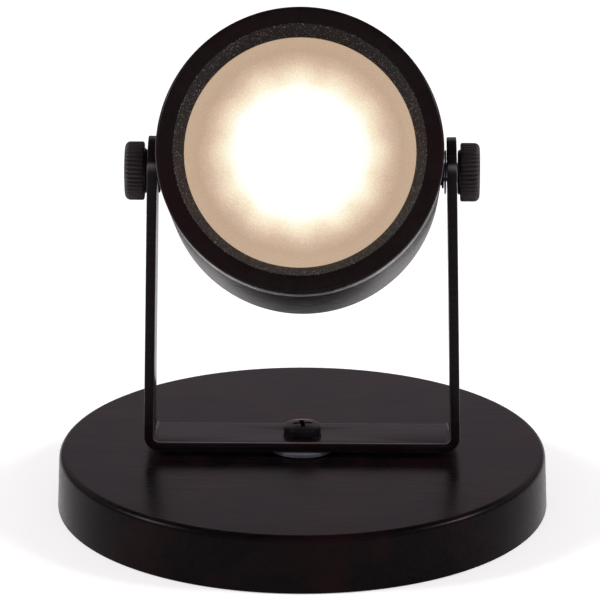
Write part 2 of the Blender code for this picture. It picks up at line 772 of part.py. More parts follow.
def make_board_screws(finish, head):
    length = SEAT_GAP + BOARD_THICKNESS + SEAT_GAP + BOARD_SCREW_REACH
    for number, (x, y, _) in enumerate(board_screw_places(), 1):
        place(
            f"board_screw_{number}",
            small_screw(length),
            finish["zinc"],
            head,
            location=(x, y, BOARD_FRONT + SEAT_GAP),
        )


# The driver and its insulating cup


def make_driver_board(finish, head):
    centre = (0, 0, DRIVER_BACK + DRIVER_THICKNESS / 2)
    board = block((DRIVER_LENGTH, DRIVER_WIDTH, DRIVER_THICKNESS), centre)
    board = place("driver_board", board, finish["board_green"], head)
    holes = [
        cylinder(
            SMALL_SCREW_RADIUS + RUNNING_GAP,
            DRIVER_BACK - OVERRUN,
            DRIVER_FRONT + OVERRUN,
            centre=(x, 0),
        )
        for x in (-POST_OFFSET, POST_OFFSET)
    ]
    boolean(board, merged(holes), "screw_holes")


def make_driver_screws(finish, head):
    length = SEAT_GAP + DRIVER_THICKNESS + SEAT_GAP + DRIVER_SCREW_REACH
    for number, x in enumerate((-POST_OFFSET, POST_OFFSET), 1):
        place(
            f"driver_screw_{number}",
            small_screw(length),
            finish["zinc"],
            head,
            rotation=(math.pi, 0, 0),
            location=(x, 0, DRIVER_BACK - SEAT_GAP),
        )


def on_driver_board(shares):
    """A place on the driver board, from shares of its length and width."""
    return DRIVER_LENGTH * shares[0], DRIVER_WIDTH * shares[1]


def make_driver_parts(finish, head):
    seat = DRIVER_BACK - SEAT_GAP
    can = turned(
        rounded(
            [
                (0, seat - CAPACITOR_LENGTH, 0),
                (CAPACITOR_RADIUS, seat - CAPACITOR_LENGTH, CAPACITOR_EDGE),
                (CAPACITOR_RADIUS, seat, 0),
                (0, seat, 0),
            ],
            closed=False,
        ),
        SMALL_ROUND,
    )
    bmesh.ops.translate(can, verts=can.verts, vec=(*on_driver_board(CAPACITOR_PLACE_SHARES), 0))
    place("driver_capacitor", can, finish["black_plastic"], head)
    for name, shares, height, place_shares, look in (
        (
            "driver_transformer",
            TRANSFORMER_SHARES,
            TRANSFORMER_HEIGHT,
            TRANSFORMER_PLACE_SHARES,
            "black_plastic",
        ),
        ("terminal_block", TERMINAL_SHARES, TERMINAL_HEIGHT, TERMINAL_PLACE_SHARES, "white_plastic"),
    ):
        centre = on_driver_board(place_shares)
        size = (CUP_BORE * shares[0], CUP_BORE * shares[1], height)
        made = place(name, block(size, (*centre, seat - height / 2)), finish[look], head)
        edge = made.modifiers.new("edges", "BEVEL")
        edge.width = BLOCK_EDGE
        edge.segments = 1
        if name == "terminal_block":
            mouth = seat - height
            bores = [
                cylinder(
                    TERMINAL_BORE,
                    mouth - OVERRUN,
                    mouth + TERMINAL_BORE_DEPTH,
                    centre=(centre[0] + side * size[0] * TERMINAL_PITCH_SHARE / 2, centre[1]),
                )
                for side in (-1, 1)
            ]
            boolean(made, merged(bores), "wire_holes")


def make_driver_cup(finish, head):
    rim = SPREADER_BACK - SEAT_GAP
    outline = [
        (CUP_BORE, rim),
        (CUP_RADIUS, rim),
        (CUP_RADIUS, CUP_BACK),
        (CUP_HOLE_RADIUS, CUP_BACK),
        (CUP_HOLE_RADIUS, CUP_BACK + CUP_WALL),
        (CUP_BORE, CUP_BACK + CUP_WALL),
    ]
    place("driver_cup", turned(outline, MEDIUM_ROUND), finish["white_plastic"], head)


def smooth_route(points):
    """A Catmull-Rom curve through the points, sampled evenly between each pair."""
    ends = [points[0] * 2 - points[1], *points, points[-1] * 2 - points[-2]]
    route = []
    for a, b, c, d in zip(ends, ends[1:], ends[2:], ends[3:]):
        for step in range(LEAD_STEPS):
            t = step / LEAD_STEPS
            square = (a * 2 - b * 5 + c * 4 - d) * t**2
            cube = (b * 3 - a - c * 3 + d) * t**3
            route.append((b * 2 + (c - a) * t + square + cube) / 2)
    route.append(points[-1])
    return route


def make_leads(finish, head):
    """Two leads that rise from the LED board's pads and dive through its middle to the driver."""
    pad = BOARD_FRONT + SEAT_GAP + LEAD_RADIUS
    for name, side, look in (("lead_positive", 1, "lead_red"), ("lead_negative", -1, "lead_black")):
        points = [
            Vector((side * LEAD_PAD_REACH, 0, pad)),
            Vector((side * (LEAD_PAD_REACH + LEAD_SPREAD) / 2, 0, pad + LEAD_HUMP)),
            Vector((side * LEAD_SPREAD, 0, pad - LEAD_DROP)),
            Vector((side * LEAD_SPREAD, 0, SPREADER_BACK)),
            Vector((side * LEAD_FOOT_REACH, 0, (SPREADER_BACK + DRIVER_FRONT) / 2)),
            Vector((side * LEAD_FOOT_REACH, 0, DRIVER_FRONT + SEAT_GAP)),
        ]
        route = smooth_route(points)
        curve = bpy.data.curves.new(name, "CURVE")
        curve.dimensions = "3D"
        curve.bevel_depth = LEAD_RADIUS
        curve.bevel_resolution = 1
        curve.use_fill_caps = True
        spline = curve.splines.new("POLY")
        spline.points.add(len(route) - 1)
        for point, place_on_route in zip(spline.points, route):
            point.co = (*place_on_route, 1)
        curve.materials.append(finish[look])
        lead = bpy.data.objects.new(name, curve)
        bpy.context.scene.collection.objects.link(lead)
        lead.parent = head


def make_cord_bushing(finish, head):
    outer_face = REAR_END - SEAT_GAP
    catch_front = BUSH_CATCH_BACK + BUSH_CATCH_THICKNESS
    outline = rounded(
        [
            (BUSH_BORE_RADIUS, outer_face - BUSH_FLANGE_THICKNESS, SMALL_EDGE),
            (BUSH_FLANGE_RADIUS, outer_face - BUSH_FLANGE_THICKNESS, BUSH_FLANGE_EDGE),
            (BUSH_FLANGE_RADIUS, outer_face, 0),
            (BUSH_NECK_RADIUS, outer_face, 0),
            (BUSH_NECK_RADIUS, BUSH_CATCH_BACK, 0),
            (BUSH_CATCH_RADIUS, BUSH_CATCH_BACK, 0),
            (BUSH_NECK_RADIUS, catch_front, 0),
            (BUSH_BORE_RADIUS, catch_front, 0),
        ]
    )
    place("cord_bushing", turned(outline, SMALL_ROUND), finish["black_plastic"], head)


# What joins the head to the yoke, one set at each end of the tilt axis


def make_pivot_insert(name, finish, head, turn):
    bore = STUD_RADIUS + THREAD_GAP
    flange_out = INSERT_FACE + INSERT_FLANGE_THICKNESS
    outline = [
        (bore, flange_out),
        (bore, INSERT_END),
        (INSERT_BARREL_RADIUS, INSERT_END),
        (INSERT_BARREL_RADIUS, INSERT_UPSET_IN),
        (INSERT_UPSET_RADIUS, (INSERT_UPSET_IN + INSERT_UPSET_OUT) / 2),
        (INSERT_BARREL_RADIUS, INSERT_UPSET_OUT),
        (INSERT_BARREL_RADIUS, INSERT_FACE),
        (INSERT_FLANGE_RADIUS, INSERT_FACE),
        (INSERT_FLANGE_RADIUS, flange_out),
    ]
    place(name, turned(outline, SMALL_ROUND), finish["brass"], head, turn)


def make_pivot_washer(name, finish, head, turn):
    washer = ring(
        STUD_RADIUS + RUNNING_GAP,
        PIVOT_WASHER_RADIUS,
        WASHER_FACE,
        WASHER_FACE + PIVOT_WASHER_THICKNESS,
        SMALL_ROUND,
    )
    place(name, washer, finish["black_plastic"], head, turn)


def make_stud(name, finish, head, turn):
    end = KNOB_END - KNOB_END_WALL
    outline = [
        (0, STUD_DEPTH),
        (STUD_RADIUS - SCREW_CHAMFER, STUD_DEPTH),
        (STUD_RADIUS, STUD_DEPTH + SCREW_CHAMFER),
        (STUD_RADIUS, end),
        (0, end),
    ]
    place(name, turned(outline, SMALL_ROUND), finish["zinc"], head, turn)


def ribbed(radius, depth, height):
    """A ring of points, in and out once for each rib."""
    points = []
    for index in range(2 * RIB_COUNT):
        angle = math.pi * index / RIB_COUNT
        reach = radius - depth * (index % 2)
        points.append((reach * math.cos(angle), reach * math.sin(angle), height))
    return points


def make_knob(name, finish, head, turn):
    """A knob with a narrow shoulder towards the arm and a blind bore for its stud."""
    bore = STUD_RADIUS + THREAD_GAP
    bore_end = KNOB_END - KNOB_END_WALL + SEAT_GAP
    edge = KNOB_EDGE * math.sqrt(0.5)
    levels = [
        (bore, 0, bore_end),
        (bore, 0, KNOB_FACE),
        (KNOB_SHOULDER_RADIUS, 0, KNOB_FACE),
        (KNOB_SHOULDER_RADIUS, 0, KNOB_BARREL),
        (KNOB_RADIUS, RIB_DEPTH, KNOB_BARREL),
        (KNOB_RADIUS, RIB_DEPTH, KNOB_END - KNOB_EDGE),
        (KNOB_RADIUS - KNOB_EDGE + edge, RIB_DEPTH, KNOB_END - KNOB_EDGE + edge),
        (KNOB_RADIUS - KNOB_EDGE, 0, KNOB_END),
    ]
    mesh = bmesh.new()
    rings = [[mesh.verts.new(point) for point in ribbed(*level)] for level in levels]
    join_rings(mesh, rings)
    mesh.faces.new(rings[0])
    mesh.faces.new(rings[-1])
    bmesh.ops.recalc_face_normals(mesh, faces=mesh.faces)
    place(name, mesh, finish["knob_plastic"], head, turn)


def main():
    clear_scene()
    finish = make_materials()
    make_base_shell(finish)
    make_base_weight(finish)
    make_base_pad(finish)
    make_nut_and_washer(finish)
    make_swivel_washer(finish)
    make_wave_washer(finish)
    make_yoke_screw(finish)
    swivel = empty("yoke_swivel", (0, 0, STRAP_BOTTOM))
    make_yoke(finish, swivel)
    head = empty("head_pivot", (0, 0, PIVOT_RISE), (math.pi / 2 - HEAD_TILT, 0, 0), swivel)
    make_housing(finish, head)
    make_front_ring(finish, head)
    make_lens(finish, head)
    make_gasket(finish, head)
    make_reflector(finish, head)
    make_led_board(finish, head)
    make_heat_spreader(finish, head)
    make_board_screws(finish, head)
    make_driver_board(finish, head)
    make_driver_screws(finish, head)
    make_driver_parts(finish, head)
    make_driver_cup(finish, head)
    make_leads(finish, head)
    make_cord_bushing(finish, head)
    for side, turn in (("left", (0, -math.pi / 2, 0)), ("right", (0, math.pi / 2, 0))):
        make_pivot_insert(f"pivot_insert_{side}", finish, head, turn)
        make_pivot_washer(f"pivot_washer_{side}", finish, head, turn)
        make_stud(f"knob_stud_{side}", finish, head, turn)
        make_knob(f"knob_{side}", finish, head, turn)


main()
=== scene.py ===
"""The looks of the accent uplight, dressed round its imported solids. Metres, +Z up, facing -Y.

Head pieces are drawn in the head's own frame, whose +Z runs out through the lens from the tilt
axis, and so are the patterns of their paint.
"""

import math

import bmesh
import bpy
from mathutils import Matrix, Vector

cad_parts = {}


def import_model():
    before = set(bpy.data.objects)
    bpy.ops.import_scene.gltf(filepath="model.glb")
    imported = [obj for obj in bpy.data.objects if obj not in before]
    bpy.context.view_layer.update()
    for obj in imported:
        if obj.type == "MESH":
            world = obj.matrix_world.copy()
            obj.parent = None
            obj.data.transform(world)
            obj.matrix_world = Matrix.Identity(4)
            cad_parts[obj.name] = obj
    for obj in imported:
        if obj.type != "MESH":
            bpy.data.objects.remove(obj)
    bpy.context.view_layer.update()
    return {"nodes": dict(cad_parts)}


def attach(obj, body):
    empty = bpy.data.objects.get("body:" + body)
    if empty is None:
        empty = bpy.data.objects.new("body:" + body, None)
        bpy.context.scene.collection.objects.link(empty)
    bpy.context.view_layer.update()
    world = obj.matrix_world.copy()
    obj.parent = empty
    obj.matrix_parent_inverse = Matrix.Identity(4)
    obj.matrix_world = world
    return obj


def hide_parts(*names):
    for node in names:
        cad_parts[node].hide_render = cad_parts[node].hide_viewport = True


# Camera, as fitted to the photograph
CAMERA_PLACE = (0.01777, -1.08471, 0.42454)
CAMERA_AIM = (-0.016026, 0.946515, -0.32227)
CAMERA_LENS_MM = 268.25
SENSOR_MM = 36.0
CAMERA_CLIP = (0.05, 50)

# Base
BASE_RADIUS = 0.0635
BASE_TOP_RADIUS = 0.0629
BASE_HEIGHT = 0.0149
BASE_EDGE_RADIUS = 0.0018
SHELL_WALL = 0.0012
SHELL_INNER_RADIUS = 0.0006
SHELL_LIFT = 0.0001
SHELL_RIM_ROUND = 0.0003
CENTRE_HOLE_RADIUS = 0.0028
PAD_RADIUS = 0.0618
PAD_THICKNESS = 0.002
PAD_ROUND = 0.0004

# Centre screw and swivel washer
WASHER_BOTTOM = 0.0151
WASHER_THICKNESS = 0.00105
WASHER_RADIUS = 0.0088
WASHER_ROUND = 0.00018
SCREW_SEAT = 0.0191
SCREW_LENGTH = 0.0159
SCREW_RADIUS = 0.0025
SCREW_HEAD_RADIUS = 0.0048
SCREW_HEAD_HEIGHT = 0.0026
RECESS_SPAN = 0.0052
RECESS_WIDTH = 0.0011
RECESS_DEPTH = 0.0015
RECESS_FLOOR_SHARE = 0.55
RECESS_WIDTH_TAPER = 0.3
RECESS_TURN = math.radians(8)
CROWN_DROP = 0.00065
CROWN_STEPS = 6
SCREW_EDGE_RADIUS = 0.0006
SCREW_FOOT_ROUND = 0.0002
SCREW_POINT_ROUND = 0.0004

# Yoke
STRAP_BOTTOM = 0.01635
STRAP_WIDTH = 0.015
STRAP_THICKNESS = 0.0025
YOKE_SPAN = 0.08157
BEND_RADIUS = 0.004
PIVOT_RISE = 0.07335
ARM_OUTER_AT_PIVOT = 0.03918
ARM_END_OFFSET = 0.0015
STRAP_ROUND = 0.00028
STRAP_ROUND_STEPS = 3
STRAP_ROUND_ANGLE = math.radians(40)
STRAP_HOLE_RADIUS = 0.0028
PIVOT_HOLE_RADIUS = 0.0027
BEND_CUTS = 10
# Width of the painted highlight along the edges of the strap's broad faces
EDGE_HIGHLIGHT_BAND = 0.0003

# Head outline, forward from the tilt axis
HEAD_TILT = math.radians(24.6)
FRONT_REACH = 0.042
REAR_REACH = 0.0165
RIM_RADIUS = 0.0354
REAR_RADIUS = 0.0351
REAR_EDGE_RADIUS = 0.004
REAR_WALL = 0.0016
REAR_INNER_RADIUS = 0.0022
BORE_RADIUS = 0.0335
REAR_BORE_RADIUS = 0.0325
LEDGE_HEIGHT = 0.0126
INSERT_HOLE_RADIUS = 0.00365

# Front ring and lens
RING_DEPTH = 0.009
RING_EDGE_RADIUS = 0.0009
SEAM_GAP = 0.0003
SEAM_ROUND = 0.00025
OPENING_RADIUS = 0.03105
OPENING_ROUND = 0.00018
CONE_DEPTH = 0.0052
LENS_VIEW_RADIUS = 0.02857
LIP_THICKNESS = 0.0008
LIP_ROUND = 0.0001
SPIGOT_RADIUS = 0.0332
SPIGOT_LENGTH = 0.006
POCKET_RADIUS = 0.0315
LENS_RADIUS = 0.0312
LENS_THICKNESS = 0.0024
LENS_GAP = 0.00025
LENS_ROUND = 0.0004
EMITTER_COUNT = 12

# Cord bushing
BUSH_NECK_RADIUS = 0.0052
BUSH_GAP = 0.00025
BUSH_BORE_RADIUS = 0.0033
BUSH_FLANGE_RADIUS = 0.0074
BUSH_FLANGE_THICKNESS = 0.002
BUSH_FLANGE_EDGE = 0.0012
BUSH_BORE_EDGE = 0.0005
BUSH_CATCH_RADIUS = 0.0061
BUSH_CATCH_THICKNESS = 0.0007

# Along the tilt axis, outwards
KNOB_FACE = 0.03943
KNOB_SHOULDER_RADIUS = 0.0057
KNOB_SHOULDER_LENGTH = 0.00065
KNOB_RADIUS = 0.00745
KNOB_LENGTH = 0.0049
KNOB_EDGE = 0.0014
KNOB_EDGE_STEPS = 7
KNOB_END_SHARE = 0.9
KNOB_FOOT_EDGE = 0.0003
KNOB_END_WALL = 0.0015
KNOB_BORE_RADIUS = 0.00252
KNOB_BORE_GAP = 0.00025
RIB_COUNT = 40
RIB_DEPTH = 0.00045
RIB_POINTS = 6
RIB_SHARPNESS = 0.8
RIB_FADE = 3

# Patterns of the materials, as noise scales and depths of relief
SPECK_SCALE = 5200.0
PATCH_SCALE = 60.0
# The next scale sizes the cone's painted glints.
GLINT_FLAKE_SCALE = 2400.0
CLOUD_SCALE = 120.0
SCRATCH_RELIEF = 0.00003
LENS_WANDER_SCALE = 110.0
LENS_FROST_SCALE = 1700.0
LENS_GRAIN_SCALE = 4200.0
LENS_RELIEF = 0.00006

# How far patterns shift the glow, as shares of the radius that shows
LENS_LOBE_DEPTH = 0.016
LENS_WANDER_DEPTH = 0.10
LENS_FROST_DEPTH = 0.10

# Colour of the glow, from 0 at the lens's centre to 1 at the edge that shows
GLOW_STOPS = [
    (0.0, (1.0, 1.0, 1.0)),
    (0.43, (1.0, 1.0, 0.98)),
    (0.52, (0.96, 0.96, 0.91)),
    (0.59, (0.95, 0.93, 0.78)),
    (0.655, (0.90, 0.79, 0.58)),
    (0.725, (0.765, 0.60, 0.44)),
    (0.795, (0.60, 0.435, 0.32)),
    (0.88, (0.483, 0.341, 0.23)),
    (0.96, (0.51, 0.365, 0.25)),
]

# Studio
FLOOR_HALF_SIDE = 5
FLOOR_GREY = 0.8
FLOOR_LIFT = 0.45
WALL_COLOUR = (1.0, 0.87, 0.96)
WALL_FOOT_STRENGTH = 0.3
WALL_STRENGTH = 0.98
CEILING_STRENGTH = 0.1
WALL_FOOT = math.sin(math.radians(7))
WALL_MIDDLE = math.sin(math.radians(25))
WALL_TOP = math.sin(math.radians(30))
CEILING_EDGE = math.sin(math.radians(44))
LEFT_LIGHT_PLACE = (-1.15, -0.15, 0.85)
RIGHT_LIGHT_PLACE = (1.15, -0.10, 0.80)
LIGHT_AIM = (0, 0, 0.08)
LIGHT_SIDE = 0.34
LIGHT_POWER = 10.5

# Mesh fineness
FINE_ROUND = 192
MEDIUM_ROUND = 96
SMALL_ROUND = 64
ARC_TOLERANCE = 0.000004
MERGE_DISTANCE = 0.0000005
OVERRUN = 0.002
SHARP_ANGLE = math.radians(32)
STRAP_SHARP_ANGLE = math.radians(40)
KNOB_SHARP_ANGLE = math.radians(50)

# Worked out from the sizes above
REAR_END = -REAR_REACH
RING_BACK = FRONT_REACH - RING_DEPTH
LIP_FRONT = FRONT_REACH - CONE_DEPTH
LIP_BACK = LIP_FRONT - LIP_THICKNESS
PIVOT_HEIGHT = STRAP_BOTTOM + PIVOT_RISE

# The head's own frame, where it rests
HEAD = Matrix.Translation((0, 0, PIVOT_HEIGHT)) @ Matrix.Rotation(math.pi / 2 - HEAD_TILT, 4, "X")


# Node graphs


class Graph:
    """Adds shader nodes, linking every input that is given as a socket."""

    def __init__(self, tree):
        self.tree = tree

    def add(self, kind, inputs=None, **settings):
        node = self.tree.nodes.new(kind)
        for name, value in settings.items():
            setattr(node, name, value)
        for name, value in (inputs or {}).items():
            socket = node.inputs[name]
            if isinstance(value, bpy.types.NodeSocket):
                self.tree.links.new(value, socket)
            else:
                socket.default_value = value
        return node

    def math(self, operation, first, second=0.0, third=0.0):
        node = self.add("ShaderNodeMath", {0: first, 1: second, 2: third}, operation=operation)
        return node.outputs[0]

    def object_place(self, scale=(1, 1, 1)):
        place = self.add("ShaderNodeTexCoord").outputs["Object"]
        return self.add("ShaderNodeMapping", {"Vector": place, "Scale": scale}).outputs[0]

    def noise(self, vector, scale, detail, roughness):
        inputs = {"Vector": vector, "Scale": scale, "Detail": detail, "Roughness": roughness}
        return self.add("ShaderNodeTexNoise", inputs).outputs["Fac"]

    def spread(self, value, low, high, to_low, to_high):
        """The value carried from one range to another, and held inside it."""
        inputs = {0: value, 1: low, 2: high, 3: to_low, 4: to_high}
        return self.add("ShaderNodeMapRange", inputs).outputs[0]

    def ramp(self, value, stops):
        node = self.add("ShaderNodeValToRGB", {"Fac": value})
        elements = node.color_ramp.elements
        while len(elements) < len(stops):
            elements.new(0.5)
        for element, (position, colour) in zip(elements, stops):
            element.position = position
            element.color = (*colour, 1)
        return node.outputs["Color"]

    def mix(self, share, first, second):
        """A colour between two, each a socket or a plain colour."""
        node = self.add("ShaderNodeMix", data_type="RGBA")
        self.tree.links.new(share, node.inputs[0])
        for index, value in ((6, first), (7, second)):
            if isinstance(value, bpy.types.NodeSocket):
                self.tree.links.new(value, node.inputs[index])
            else:
                node.inputs[index].default_value = (*value, 1)
        return node.outputs[2]

    def bump(self, height, strength, distance, under=None):
        inputs = {"Height": height, "Strength": strength, "Distance": distance}
        if under:
            inputs["Normal"] = under
        return self.add("ShaderNodeBump", inputs).outputs[0]


def new_material(name, roughness, metallic=0.0, specular=0.5):
    """A material with its shader, whose plain numbers are set on the shader's own sockets."""
    made = bpy.data.materials.new(name)
    made.use_nodes = True
    shader = made.node_tree.nodes["Principled BSDF"]
    shader.inputs["Roughness"].default_value = roughness
    shader.inputs["Metallic"].default_value = metallic
    shader.inputs["Specular IOR Level"].default_value = specular
    return made, Graph(made.node_tree), shader


def link(graph, shader, **sockets):
    for name, value in sockets.items():
        graph.tree.links.new(value, shader.inputs[name.replace("_", " ")])


def paint(
    name, dark, light, blush, streak_scale, roughness, specular, relief=0.00002, glint_fleck=None, edge_highlight=None
):
    """Sprayed paint: fine grain, streaks that run along the axis with the lowest streak_scale,
    patches that blush towards another colour. The cone's paint has light flecks, painted glints of the
    lens's glow, and the strap's has a painted highlight along the edges of its broad faces."""
    made, graph, shader = new_material(name, roughness, specular=specular)
    streaks = graph.noise(graph.object_place(streak_scale), 1.0, 3.0, 0.6)
    specks = graph.noise(graph.object_place(), SPECK_SCALE, 2.0, 0.6)
    patches = graph.noise(graph.object_place(), PATCH_SCALE, 3.0, 0.6)
    tone = graph.math("MULTIPLY_ADD", streaks, 0.6, graph.math("MULTIPLY", specks, 0.4))
    share = graph.spread(tone, 0.36, 0.64, 0.0, 1.0)
    rough = graph.spread(tone, 0.36, 0.64, roughness - 0.05, roughness + 0.06)
    colour = graph.mix(share, dark, light)
    colour = graph.mix(graph.spread(patches, 0.45, 0.68, 0.0, 1.0), colour, blush)
    # Light warm flecks on the cone: painted glints of the lens's glow.
    if glint_fleck:
        glint_flakes = graph.noise(graph.object_place(), GLINT_FLAKE_SCALE, 1.0, 0.5)
        colour = graph.mix(graph.spread(glint_flakes, 0.62, 0.70, 0.0, 1.0), colour, glint_fleck)
    # A lighter band along the edges of the strap's broad faces: a painted highlight.
    if edge_highlight:
        across = graph.add("ShaderNodeSeparateXYZ", {0: graph.object_place()}).outputs[1]
        edge = STRAP_WIDTH / 2 - STRAP_ROUND
        across = graph.math("ABSOLUTE", across)
        near = graph.spread(across, edge - EDGE_HIGHLIGHT_BAND, edge, 0.0, 1.0)
        near = graph.math("MULTIPLY", near, graph.spread(across, edge, edge + STRAP_ROUND, 1.0, 0.0))
        edge_highlight_share = graph.math("MULTIPLY", near, graph.spread(tone, 0.3, 0.6, 0.6, 1.0))
        colour = graph.mix(edge_highlight_share, colour, edge_highlight)
    fine = graph.bump(specks, 0.25, relief)
    lines = graph.bump(streaks, 0.5, relief, fine)
    link(graph, shader, Base_Color=colour, Roughness=rough, Normal=lines)
    return made


def plain_metal(name, dark, light, roughness, metallic=1.0, scale=900.0, specular=0.5):
    """Plated or bare metal, with cloudy colour and fine scratches."""
    made, graph, shader = new_material(name, roughness, metallic, specular)
    cloud = graph.noise(graph.object_place(), scale / 4, 3.0, 0.6)
    scratch = graph.noise(graph.object_place((1, 9, 3)), scale, 3.0, 0.7)
    rough = graph.spread(scratch, 0.3, 0.7, roughness - 0.07, roughness + 0.09)
    share = graph.spread(cloud, 0.3, 0.7, 0.0, 1.0)
    link(
        graph,
        shader,
        Base_Color=graph.mix(share, dark, light),
        Roughness=rough,
        Normal=graph.bump(scratch, 0.2, SCRATCH_RELIEF),
    )
    return made


def moulded(name, dark, light, roughness, scale=2600.0, depth=0.00004, specular=0.4):
    """Moulded plastic, rubber or foam: a pebbled skin with a slight change of shade."""
    made, graph, shader = new_material(name, roughness, specular=specular)
    pebble = graph.noise(graph.object_place(), scale, 2.0, 0.5)
    cloud = graph.noise(graph.object_place(), CLOUD_SCALE, 2.0, 0.5)
    tone = graph.math("MULTIPLY_ADD", pebble, 0.5, graph.math("MULTIPLY", cloud, 0.5))
    share = graph.spread(tone, 0.35, 0.65, 0.0, 1.0)
    rough = graph.spread(pebble, 0.3, 0.7, roughness - 0.05, roughness + 0.08)
    link(
        graph,
        shader,
        Base_Color=graph.mix(share, dark, light),
        Roughness=rough,
        Normal=graph.bump(pebble, 0.4, depth),
    )
    return made


def lit_lens():
    """Frosted glass lit from behind: white over the emitters, with soft lobes where each one's
    glow ends, then a warm rim."""
    made, graph, shader = new_material("frosted_glass_lit", 0.5, specular=0.25)
    parts = graph.add("ShaderNodeSeparateXYZ", {0: graph.object_place()}).outputs
    square = graph.math("MULTIPLY_ADD", parts[0], parts[0], graph.math("MULTIPLY", parts[1], parts[1]))
    radius = graph.math("SQRT", square)
    angle = graph.math("ARCTAN2", parts[1], parts[0])
    lobes = graph.math("COSINE", graph.math("MULTIPLY", angle, float(EMITTER_COUNT)))
    wander = graph.noise(graph.object_place(), LENS_WANDER_SCALE, 3.0, 0.6)
    frost = graph.noise(graph.object_place(), LENS_FROST_SCALE, 3.0, 0.7)
    grain = graph.noise(graph.object_place(), LENS_GRAIN_SCALE, 1.0, 0.5)
    reach = graph.math("DIVIDE", radius, LENS_VIEW_RADIUS)
    rising = graph.spread(reach, 0.5, 0.62, 0.0, 1.0)
    window = graph.math("MULTIPLY", rising, graph.spread(reach, 0.72, 0.92, 1.0, 0.0))
    shift = graph.math("MULTIPLY", graph.math("MULTIPLY", lobes, window), -LENS_LOBE_DEPTH)
    wander = graph.math("SUBTRACT", wander, 0.5)
    shift = graph.math("MULTIPLY_ADD", wander, LENS_WANDER_DEPTH, shift)
    shift = graph.math("MULTIPLY_ADD", graph.math("SUBTRACT", frost, 0.5), LENS_FROST_DEPTH, shift)
    glow = graph.ramp(graph.math("ADD", reach, shift), GLOW_STOPS)
    strength = graph.spread(reach, 0.3, 0.62, 1.5, 1.0)
    strength = graph.math("MULTIPLY", strength, graph.spread(grain, 0.3, 0.7, 0.87, 1.11))
    shader.inputs["Base Color"].default_value = (0.10, 0.085, 0.07, 1)
    link(
        graph,
        shader,
        Emission_Color=glow,
        Emission_Strength=strength,
        Normal=graph.bump(frost, 0.5, LENS_RELIEF),
    )
    return made


def floor_material():
    """Pale matt floor. What the camera and reflections see of it is lifted to white, and the
    shadow on it stays."""
    made = bpy.data.materials.new("studio_floor")
    made.use_nodes = True
    tree = made.node_tree
    graph = Graph(tree)
    tree.nodes.remove(tree.nodes["Principled BSDF"])
    output = next(node for node in tree.nodes if node.type == "OUTPUT_MATERIAL")
    rays = graph.add("ShaderNodeLightPath").outputs
    seen = graph.math("MAXIMUM", rays["Is Camera Ray"], rays["Is Glossy Ray"])
    seen = graph.math("MAXIMUM", seen, rays["Is Transmission Ray"])
    grey = (FLOOR_GREY, FLOOR_GREY, FLOOR_GREY, 1)
    matt = graph.add("ShaderNodeBsdfDiffuse", {"Color": grey}).outputs[0]
    strength = graph.math("MULTIPLY", seen, FLOOR_LIFT)
    lift = graph.add("ShaderNodeEmission", {"Strength": strength}).outputs[0]
    both = graph.add("ShaderNodeAddShader", {0: matt, 1: lift}).outputs[0]
    tree.links.new(both, output.inputs["Surface"])
    return made


# Shapes


def rounded(corners, closed=True):
    """Points of an outline given as corners (x, y, fillet radius)."""
    points = []
    last = len(corners) - 1
    for index, (x, y, fillet) in enumerate(corners):
        corner = Vector((x, y))
        if not fillet or (not closed and index in (0, last)):
            points.append((x, y))
            continue
        before = (Vector(corners[index - 1][:2]) - corner).normalized()
        after = (Vector(corners[(index + 1) % len(corners)][:2]) - corner).normalized()
        half = before.angle(after) / 2
        centre = corner + (before + after).normalized() * fillet / math.sin(half)
        start = corner + before * fillet / math.tan(half) - centre
        end = corner + after * fillet / math.tan(half) - centre
        first = math.atan2(start.y, start.x)
        turn = (math.atan2(end.y, end.x) - first + math.pi) % math.tau - math.pi
        steps = max(3, math.ceil(abs(turn) / (2 * math.acos(1 - ARC_TOLERANCE / fillet))))
        for step in range(steps + 1):
            angle = first + turn * step / steps
            point = Vector((centre.x + fillet * math.cos(angle), centre.y + fillet * math.sin(angle)))
            if not points or (point - Vector(points[-1])).length > MERGE_DISTANCE:
                points.append((point.x, point.y))
    return points


def join_rings(mesh, rings):
    """Faces between each ring of points and the next, where a ring of one point is a pole."""
    for lower, upper in zip(rings, rings[1:]):
        count = max(len(lower), len(upper))
        for index in range(count):
            corners = []
            for ring, place in ((lower, index), (lower, index + 1), (upper, index + 1), (upper, index)):
                corner = ring[place % len(ring)]
                if corner not in corners:
                    corners.append(corner)
            if len(corners) > 2:
                mesh.faces.new(corners)


def turned(outline, segments):
    """The outline, as points (radius, height), turned about Z."""
    mesh = bmesh.new()
    rings = []
    for radius, height in outline:
        angles = [math.tau * index / segments for index in range(segments if radius else 1)]
        places = [(radius * math.cos(angle), radius * math.sin(angle), height) for angle in angles]
        rings.append([mesh.verts.new(place) for place in places])
    join_rings(mesh, [*rings, rings[0]])
    bmesh.ops.recalc_face_normals(mesh, faces=mesh.faces)
    return mesh


def prism(outline, bottom, top):
    """An outline (x, y) extruded along Z."""
    mesh = bmesh.new()
    face = mesh.faces.new([mesh.verts.new((x, y, bottom)) for x, y in outline])
    sides = bmesh.ops.extrude_face_region(mesh, geom=[face], use_keep_orig=True)
    moved = [item for item in sides["geom"] if isinstance(item, bmesh.types.BMVert)]
    bmesh.ops.translate(mesh, verts=moved, vec=(0, 0, top - bottom))
    bmesh.ops.recalc_face_normals(mesh, faces=mesh.faces)
    return mesh


def cylinder(radius, bottom, top, centre=(0, 0)):
    mesh = turned([(0, bottom), (radius, bottom), (radius, top), (0, top)], SMALL_ROUND)
    bmesh.ops.translate(mesh, verts=mesh.verts, vec=(*centre, 0))
    return mesh


def as_object(name, mesh, matrix=Matrix.Identity(4)):
    """A new object from a bmesh, which is freed."""
    data = bpy.data.meshes.new(name)
    mesh.to_mesh(data)
    mesh.free()
    made = bpy.data.objects.new(name, data)
    bpy.context.scene.collection.objects.link(made)
    made.matrix_world = matrix
    return made


